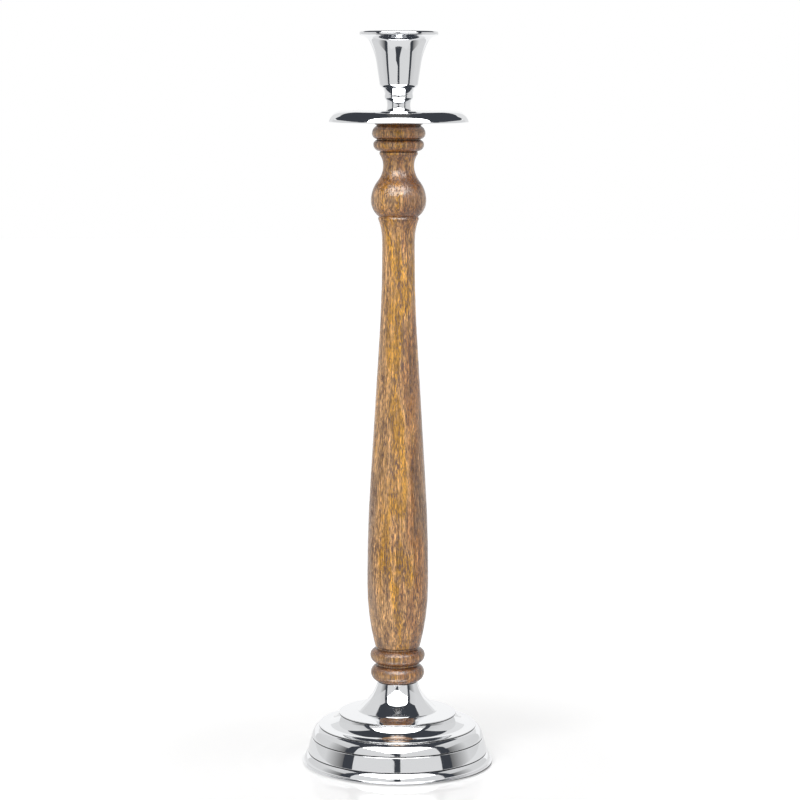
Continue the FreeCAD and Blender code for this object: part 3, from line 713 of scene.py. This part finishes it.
FIBRE = 0.4 * MM
FIBRE_DEPTH = 0.2 * MM
FELT_TINTS = ((0.004, 0.004, 0.005, 1), (0.012, 0.012, 0.013, 1))
SPANGLE = 3 * MM
SPANGLE_NOISE = (0.3, 0.7)
ZINC_TINTS = ((0.42, 0.42, 0.4, 1), (0.7, 0.7, 0.68, 1))
ZINC_GLOSS = (0.25, 0.45)


def feed(node, inputs):
    """Give each named input of a node a value or a link."""
    for name, source in dict(inputs).items():
        if isinstance(source, bpy.types.NodeSocket):
            node.id_data.links.new(source, node.inputs[name])
        else:
            node.inputs[name].default_value = source


def add_node(tree, kind, inputs=(), **settings):
    """Add a shader node, set it up, and give each input named a value or a link."""
    node = tree.nodes.new("ShaderNode" + kind)
    for name, setting in settings.items():
        setattr(node, name, setting)
    feed(node, inputs)
    return node


def new_material(name):
    """Start a material, and give it with its tree and its shader."""
    material = bpy.data.materials.new(name)
    material.use_nodes = True
    tree = material.node_tree
    return material, tree, tree.nodes["Principled BSDF"]


def opaque(tint):
    """A colour with full alpha."""
    return (*tint, 1.0)


def maths(tree, operation, first, second=None):
    """A Math node's result."""
    inputs = {0: first} if second is None else {0: first, 1: second}
    return add_node(tree, "Math", inputs, operation=operation).outputs[0]


def product(tree, first, second):
    """Two colours or places multiplied, channel by channel."""
    return add_node(tree, "VectorMath", {0: first, 1: second}, operation="MULTIPLY").outputs[0]


def distance_of(tree, place):
    """How far a place is from the origin."""
    return add_node(tree, "VectorMath", {0: place}, operation="LENGTH").outputs["Value"]


def mixed(tree, factor, first, second):
    """A blend of two colours."""
    return add_node(tree, "Mix", {
        "Factor": factor, "A": first, "B": second,
    }, data_type="RGBA").outputs[2]


def ranged(tree, source, low, high, start, end):
    """Spread a value from one range over another, and keep it inside."""
    return add_node(tree, "MapRange", {
        "Value": source, "From Min": low, "From Max": high, "To Min": start, "To Max": end,
    }).outputs["Result"]


def noisy(tree, place, scale, detail, roughness=0.5, **settings):
    """A noise texture's value."""
    return add_node(tree, "TexNoise", {
        "Vector": place, "Scale": scale, "Detail": detail, "Roughness": roughness,
    }, **settings).outputs[0]


def openness(tree, reach):
    """How open the surface is within a reach: 0 deep in a groove and 1 in the open."""
    return add_node(tree, "AmbientOcclusion", {"Distance": reach}, samples=AO_SAMPLES).outputs["AO"]


def bump(tree, height, distance, strength=1.0, **inputs):
    """A normal that is tilted by a height."""
    return add_node(tree, "Bump", {
        "Height": height, "Distance": distance, "Strength": strength, **inputs,
    }).outputs[0]


def object_place(tree):
    """The place on the piece, in its own coordinates."""
    return add_node(tree, "TexCoord").outputs["Object"]


def scaled_place(tree, across, along):
    """The place on the piece, in cells of the given width and height."""
    return add_node(tree, "Mapping", {
        "Vector": object_place(tree), "Scale": (1 / across, 1 / across, 1 / along),
    }).outputs["Vector"]


def two_tints(tree, source, tints):
    """Blend from one colour to another as a value rises."""
    ramp = add_node(tree, "ValToRGB", {"Fac": source})
    for stop, tint in zip(ramp.color_ramp.elements, tints):
        stop.color = tint
    return ramp.outputs["Color"]


def polished_metal(finish):
    """Mirror-polished aluminium, with fine wheel lines, soft ripples of the casting and painted shade in
    creases.
    """
    material, tree, shader = new_material("polished_aluminium")
    place = object_place(tree)
    radius = distance_of(tree, product(tree, place, (1, 1, 0)))
    height = add_node(tree, "SeparateXYZ", {0: place}).outputs["Z"]
    ring_place = add_node(tree, "CombineXYZ", {"X": radius, "Y": height}).outputs[0]
    rings = noisy(tree, ring_place, 1 / finish.ring_spacing, 2.0, noise_dimensions="2D")
    ripples = noisy(tree, place, 1 / finish.ripple_size, 1.0)
    worn = noisy(tree, place, WORN_SPOTS / finish.ripple_size, 4.0)
    soft = bump(tree, ripples, finish.ripple_depth)
    # Painted shade: the colour darkens towards the crease tint where ambient occlusion finds the surface
    # closed in.
    crease_shade = ranged(tree, openness(tree, finish.crease_shade_reach), *CREASE_SHADE_OPEN, 1.0, 0.0)
    feed(shader, {
        "Base Color": mixed(tree, crease_shade, opaque(finish.tint), opaque(finish.crease_shade_tint)),
        "Metallic": 1.0,
        "Roughness": ranged(tree, worn, *WORN_NOISE, finish.gloss, finish.gloss + finish.haze),
        "Normal": bump(tree, rings, finish.ring_depth, Normal=soft),
    })
    return material


def grain(tree, width, run, detail):
    """Noise that is stretched up the stem, with its grain's width and length in millimetres."""
    place = scaled_place(tree, width * MM, run * MM)
    return noisy(tree, place, 1.0, detail, GRAIN_ROUGHNESS)


def pattern(tree, width, run, detail, *spread):
    """Grain whose noise is spread over another range."""
    return ranged(tree, grain(tree, width, run, detail), *spread)


def board_colour(tree, finish, across):
    """The wood's colour by its place across the board, with painted light, shade and sheen in it."""
    half = finish.board_width / 2
    board = add_node(tree, "ValToRGB", {"Fac": ranged(tree, across, -half, half, 0.0, 1.0)})
    stops = board.color_ramp.elements
    for number, (position, name) in enumerate(BOARD):
        stop = stops[number] if number < 2 else stops.new(position)
        stop.position, stop.color = position, opaque(getattr(finish, name))
    return board.outputs["Color"]


def turned_wood(finish):
    """Streaked golden-brown hardwood whose grain runs up the stem, under a satin lacquer."""
    material, tree, shader = new_material("turned_wood")
    axes = add_node(tree, "SeparateXYZ", {0: object_place(tree)}).outputs
    height = axes["Z"]
    lowest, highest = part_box("turned_stem")
    board = board_colour(tree, finish, maths(tree, "ADD", axes["X"], pattern(tree, *SWAY)))
    flecks = pattern(tree, *FLECKS)
    shade = maths(tree, "MULTIPLY", pattern(tree, *BANDS), pattern(tree, *STREAKS))
    shade = maths(tree, "MULTIPLY", shade, flecks)
    shade_from, shade_to = FOOT_SHADE_REACH
    darker_foot = ranged(tree, height, lowest.z + shade_from, lowest.z + shade_to, FOOT_SHADE, 1.0)
    shade = maths(tree, "MULTIPLY", shade, darker_foot)
    facing = add_node(tree, "SeparateXYZ", {0: add_node(tree, "TexCoord").outputs["Normal"]})
    tilt = maths(tree, "ABSOLUTE", facing.outputs["Z"])
    cut_across = ranged(tree, tilt, *END_GRAIN_TILT, 0.0, 1.0)
    darkening = mixed(tree, cut_across, (1, 1, 1, 1), opaque(finish.end_grain))
    turned = product(tree, product(tree, board, shade), darkening)
    pores = grain(tree, finish.pore_width / MM, finish.pore_length / MM, PORE_DETAIL)
    clustered = maths(tree, "SUBTRACT", pores, pattern(tree, *CLUSTERS))
    pore_mask = ranged(tree, clustered, *PORE_NOISE, 0.0, PORE_COVER)
    coloured = mixed(tree, pore_mask, turned, opaque(finish.pore))
    # Painted shade: the wood darkens where ambient occlusion finds a groove closed in.
    groove_shade = ranged(tree, openness(tree, finish.groove_shade_reach), *GROOVE_SHADE_OPEN, GROOVE_SHADE, 0.0)
    # Painted shadow: the top neck under the drip pan darkens by its height.
    shadow_from, shadow_to = PAN_SHADOW_REACH
    pan_shadow = ranged(tree, height, highest.z - shadow_from, highest.z - shadow_to, 0.0, PAN_SHADOW)
    painted_shade = maths(tree, "MAXIMUM", groove_shade, pan_shadow)
    dents = maths(tree, "SUBTRACT", flecks, pore_mask)
    feed(shader, {
        "Base Color": mixed(tree, painted_shade, coloured, opaque(finish.painted_shade)),
        "Normal": bump(tree, dents, finish.pore_depth, DENT_STRENGTH),
        "Roughness": ranged(tree, pore_mask, 0.0, 1.0, finish.gloss, PORE_GLOSS),
        "Specular IOR Level": 1.0,
    })
    return material


def black_felt():
    """Matt black felt with tangled fibres."""
    material, tree, shader = new_material("felt")
    fibres = noisy(tree, scaled_place(tree, FIBRE, FIBRE), 1.0, 5.0)
    feed(shader, {
        "Base Color": two_tints(tree, fibres, FELT_TINTS),
        "Normal": bump(tree, fibres, FIBRE_DEPTH),
        "Roughness": 0.95,
        "Specular IOR Level": 0.1,
    })
    return material


def zinc_steel():
    """Zinc-plated steel with cloudy spangle."""
    material, tree, shader = new_material("zinc_steel")
    clouds = noisy(tree, scaled_place(tree, SPANGLE, SPANGLE), 1.0, 4.0)
    feed(shader, {
        "Base Color": two_tints(tree, clouds, ZINC_TINTS),
        "Roughness": ranged(tree, clouds, *SPANGLE_NOISE, *ZINC_GLOSS),
        "Metallic": 1.0,
    })
    return material


# Operators

def turn(name, node, slot, outline, sizes, material, **options):
    """Turn one piece, and show it in place of the part's own node."""
    piece = lathe(name, outline, sizes.steps, sizes.edge, **options)
    stand_for(piece, node, material)


class MakeBase(Operator):
    """Turn the hollow base casting"""

    bl_idname = "candlestick.base"
    bl_label = "Base casting"

    def execute(self, context):
        settings = context.scene.candlestick
        turn(
            "base", "base_casting", "polished_aluminium", base_outline(settings.base),
            settings.base, polished_metal(settings.metal),
        )
        return {"FINISHED"}


class MakeStem(Operator):
    """Turn the wooden stem"""

    bl_idname = "candlestick.stem"
    bl_label = "Turned stem"

    def execute(self, context):
        settings = context.scene.candlestick
        turn(
            "stem", "turned_stem", "turned_wood", stem_outline(settings.stem), settings.stem,
            turned_wood(settings.wood),
        )
        return {"FINISHED"}


class MakePan(Operator):
    """Turn the drip pan"""

    bl_idname = "candlestick.pan"
    bl_label = "Drip pan"

    def execute(self, context):
        settings = context.scene.candlestick
        turn(
            "pan", "drip_pan", "polished_aluminium", pan_outline(settings.pan), settings.pan,
            polished_metal(settings.metal),
        )
        return {"FINISHED"}


class MakeCup(Operator):
    """Turn the candle cup"""

    bl_idname = "candlestick.cup"
    bl_label = "Candle cup"

    def execute(self, context):
        settings = context.scene.candlestick
        turn(
            "cup", "candle_cup", "polished_aluminium", cup_outline(settings.cup), settings.cup,
            polished_metal(settings.metal), closed=False,
        )
        return {"FINISHED"}


class MakeFelt(Operator):
    """Cut the felt disc under the foot"""

    bl_idname = "candlestick.felt"
    bl_label = "Felt disc"

    def execute(self, context):
        sizes = context.scene.candlestick.felt
        lowest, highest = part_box("base_felt")
        middle = (lowest + highest) / 2
        felt = lathe(
            "felt_disc", felt_outline(), sizes.steps, sizes.edge, closed=False,
            centre=(middle.x, middle.y),
        )
        for vertex in felt.data.vertices:
            out = Vector((vertex.co.x - middle.x, vertex.co.y - middle.y, 0))
            pull = noise.noise(vertex.co / sizes.tuft) * sizes.ragged
            if out.length > highest.x - middle.x - sizes.edge:
                vertex.co -= out.normalized() * abs(pull)
        stand_for(felt, "base_felt", black_felt())
        return {"FINISHED"}


class MakeHardware(Operator):
    """Give the rod, the washers and the nut their zinc plating"""

    bl_idname = "candlestick.hardware"
    bl_label = "Rod, washers and nut"

    def execute(self, context):
        finish = zinc_steel()
        for node in ("tie_rod", "base_washer", "spring_washer", "hex_nut"):
            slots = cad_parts[node].data.materials
            slots.clear()
            slots.append(finish)
        return {"FINISHED"}


class MakeStudio(Operator):
    """Set up the floor, the lamps, the surroundings and the camera"""

    bl_idname = "candlestick.studio"
    bl_label = "Studio"

    def execute(self, context):
        studio = context.scene.candlestick.studio
        scene = context.scene
        scene.view_settings.view_transform = "Standard"
        camera = bpy.data.objects.new("camera", bpy.data.cameras.new("camera"))
        scene.collection.objects.link(camera)
        camera.data.lens = studio.focal_length
        camera.data.clip_end = 4 * studio.floor_reach
        camera.location = (studio.eye_right, -studio.distance, studio.eye_height)
        camera.rotation_euler = (math.pi / 2 - studio.pitch, -studio.roll, 0)
        scene.camera = camera
        make_floor(scene, studio)
        make_surroundings(scene)
        return {"FINISHED"}


# How far from the axis the floor's gloss and brightness change, in metres, and their strengths. The
# floor glows less near the candlestick, which paints shade around it
FLOOR_NEAR = 0.08
FLOOR_FAR = 0.24
SHINE_FAR = 0.15
FLOOR_LIFT = 0.2
FLOOR_FAR_LIFT = 0.33
FLOOR_SHINE = 0.24
FLOOR_GLOSS = 0.1
FLOOR_WHITE = (0.92, 0.92, 0.92, 1)

# Strength of the fill light, colours that the metal sees, and where it sees the backdrop
FILL = 0.5
DARK_ROOM = (0.048, 0.053, 0.063, 1)
BACKDROP = (0.98, 0.98, 0.98, 1)
BACKDROP_REACH = 0.55
BACKDROP_TOP = 0.31
FADE_SHARE = 0.35

# Each lamp: name, the direction that it shines from, its apparent width in degrees and strength
LAMPS = (
    ("lamp_key", (-0.45, -0.75, 0.75), 40, 1.25),
    ("lamp_right", (0.9, -0.35, 0.45), 50, 0.4),
)

# Each card that the metal reflects: name, brightness at one end and elsewhere, the axis that it
# fades along, then its corners, in metres. A name with {side} in it is one on the left, and has
# its mirror image on the right.
CARDS = (
    ("card_table", 0.8, 0.8, "Y", (-0.42, -0.52, -0.0005), (0.42, -0.52, -0.0005),
     (0.42, 0.6, -0.0005), (-0.42, 0.6, -0.0005)),
    ("card_back_high", 0.98, 0.98, "X", (-0.27, 0.9, 0.3), (0.27, 0.9, 0.3), (0.27, 0.9, 1.5),
     (-0.27, 0.9, 1.5)),
    ("card_corner_{side}", 0.8, 0.8, "X", (-0.8, 0.9, 0.3), (-0.27, 0.9, 0.3), (-0.27, 0.9, 1.1),
     (-0.8, 0.9, 1.1)),
    ("card_{side}", 0.14, 0.7, "Y", (-0.45, -0.17, -0.7), (-0.45, 0.54, -0.7), (-0.45, 0.54, 0.22),
     (-0.45, -0.17, 0.22)),
    ("card_{side}_high", 0.62, 0.72, "Y", (-0.45, -0.185, 0.22), (-0.45, 0.54, 0.22),
     (-0.45, 0.54, 0.62), (-0.45, -0.185, 0.62)),
    ("card_front_left", 0.74, 0.74, "X", (-0.3, -1.131, 0.62), (-0.095, -1.42, 0.43),
     (-0.095, -1.42, 0.1), (-0.3, -1.131, 0.03), (-0.3, -1.131, -0.2), (-0.388, -1.018, -0.7),
     (-0.755, -0.49, -0.7), (-0.755, -0.49, 0.75)),
    ("card_front_right", 0.74, 0.74, "X", (0.095, -1.42, 0.66), (0.095, -1.42, -0.2),
     (0.388, -1.018, -0.7), (0.755, -0.49, -0.7), (0.755, -0.49, 0.75)),
    ("card_top", 6.0, 6.0, "Y", (-0.36, -0.30, 1.0), (0.36, -0.30, 1.0), (0.62, -0.42, 1.02),
     (1.4, -1.0, 1.1), (0.6, -2.6, 1.33), (-0.6, -2.6, 1.33), (-1.4, -1.0, 1.1),
     (-0.62, -0.42, 1.02)),
    ("card_ceiling", 0.1, 0.1, "Y", (-0.1, -0.3, 1.02), (0.1, -0.3, 1.02), (0.1, 0.5, 1.02),
     (-0.1, 0.5, 1.02)),
)


def sheet_of(scene, name, corners, material):
    """Put up one flat sheet of the studio."""
    mesh = bpy.data.meshes.new(name)
    shape = bmesh.new()
    shape.faces.new([shape.verts.new(corner) for corner in corners])
    shape.to_mesh(mesh)
    shape.free()
    mesh.materials.append(material)
    sheet = bpy.data.objects.new(name, mesh)
    scene.collection.objects.link(sheet)
    return sheet


def make_floor(scene, studio):
    """A white floor with a faint gloss, which keeps the candlestick's shadow and has painted shade
    around it.
    """
    material, tree, shader = new_material("floor")
    tree.nodes.remove(shader)
    matt = add_node(tree, "BsdfDiffuse", {"Color": FLOOR_WHITE})
    gloss = add_node(tree, "BsdfGlossy", {"Color": (1, 1, 1, 1), "Roughness": FLOOR_GLOSS})
    away = distance_of(tree, object_place(tree))
    shine = ranged(tree, away, FLOOR_NEAR, SHINE_FAR, FLOOR_SHINE, 0.0)
    blend = add_node(tree, "MixShader", {0: shine, 1: matt.outputs[0], 2: gloss.outputs[0]})
    path = add_node(tree, "LightPath")
    seen = maths(tree, "MAXIMUM", path.outputs["Is Camera Ray"], path.outputs["Is Glossy Ray"])
    # Painted shade: the floor's glow is weaker near the candlestick.
    level = ranged(tree, away, FLOOR_NEAR, FLOOR_FAR, FLOOR_LIFT, FLOOR_FAR_LIFT)
    lift = add_node(tree, "Emission", {"Strength": maths(tree, "MULTIPLY", seen, level)})
    total = add_node(tree, "AddShader", {0: blend.outputs[0], 1: lift.outputs[0]})
    tree.links.new(total.outputs[0], tree.nodes["Material Output"].inputs["Surface"])
    reach = studio.floor_reach
    corners = [(x * reach, y * reach, 0) for x, y in ((-1, -1), (1, -1), (1, 1), (-1, 1))]
    floor = sheet_of(scene, "floor", corners, material)
    floor.visible_glossy = False


def glow(name, edge, middle, axis):
    """A white glowing material, fading to its edge strength at one end of the given axis."""
    material, tree, shader = new_material(name)
    place = add_node(tree, "TexCoord").outputs["Generated"]
    along = add_node(tree, "SeparateXYZ", {0: place}).outputs[axis]
    feed(shader, {
        "Base Color": (0, 0, 0, 1), "Specular IOR Level": 0, "Emission Color": (1, 1, 1, 1),
        "Emission Strength": ranged(tree, along, 0, FADE_SHARE, edge, middle),
    })
    return material


def put_up_card(scene, name, edge, middle, axis, corners):
    """Put up one glowing card that only reflections show."""
    card = sheet_of(scene, name, corners, glow(name, edge, middle, axis))
    card.visible_camera = False
    card.visible_shadow = False
    card.visible_diffuse = False


def make_surroundings(scene):
    """A dark room with white cards for the metal to reflect, and an even fill of soft light."""
    world = bpy.data.worlds.new("surroundings")
    scene.world = world
    world.use_nodes = True
    tree = world.node_tree
    path = add_node(tree, "LightPath")
    level = mixed(tree, path.outputs["Is Camera Ray"], (FILL, FILL, FILL, 1), (1, 1, 1, 1))
    way = add_node(tree, "SeparateXYZ", {0: add_node(tree, "TexCoord").outputs["Generated"]})
    behind = maths(tree, "GREATER_THAN", way.outputs["Y"], BACKDROP_REACH)
    low = maths(tree, "LESS_THAN", way.outputs["Z"], BACKDROP_TOP)
    room = mixed(tree, maths(tree, "MULTIPLY", behind, low), DARK_ROOM, BACKDROP)
    seen = mixed(tree, path.outputs["Is Glossy Ray"], level, room)
    feed(tree.nodes["Background"], {"Color": seen})
    for name, edge, middle, axis, *corners in CARDS:
        put_up_card(scene, name.format(side="left"), edge, middle, axis, corners)
        if "{side}" in name:
            mirrored = [(-x, y, z) for x, y, z in corners]
            put_up_card(scene, name.format(side="right"), edge, middle, axis, mirrored)
    for name, source, width, strength in LAMPS:
        lamp = bpy.data.lights.new(name, "SUN")
        lamp.angle = math.radians(width)
        lamp.energy = strength
        holder = bpy.data.objects.new(name, lamp)
        scene.collection.objects.link(holder)
        holder.rotation_euler = Vector(source).to_track_quat("Z", "Y").to_euler()
        holder.visible_glossy = False


class CandlestickPanel(Panel):
    """Lists what can be made."""

    bl_idname = "VIEW3D_PT_candlestick"
    bl_label = "Candlestick"
    bl_space_type = "VIEW_3D"
    bl_region_type = "UI"
    bl_category = "Candlestick"

    def draw(self, context):
        for operator in OPERATORS:
            self.layout.operator(operator.bl_idname)


GROUPS = (
    BaseSizes, StemSizes, PanSizes, CupSizes, FeltSizes, MetalFinish, WoodFinish, StudioSettings,
    Candlestick,
)
OPERATORS = (MakeBase, MakeStem, MakePan, MakeCup, MakeFelt, MakeHardware, MakeStudio)


def register():
    for item in (*GROUPS, *OPERATORS, CandlestickPanel):
        bpy.utils.register_class(item)
    bpy.types.Scene.candlestick = PointerProperty(type=Candlestick)


def unregister():
    del bpy.types.Scene.candlestick
    for item in reversed((*GROUPS, *OPERATORS, CandlestickPanel)):
        bpy.utils.unregister_class(item)


def main():
    register()
    bpy.ops.candlestick.base()
    bpy.ops.candlestick.stem()
    bpy.ops.candlestick.pan()
    bpy.ops.candlestick.cup()
    bpy.ops.candlestick.felt()
    bpy.ops.candlestick.hardware()
    bpy.ops.candlestick.studio()
    bpy.context.view_layer.update()


if __name__ == "__main__":
    main()
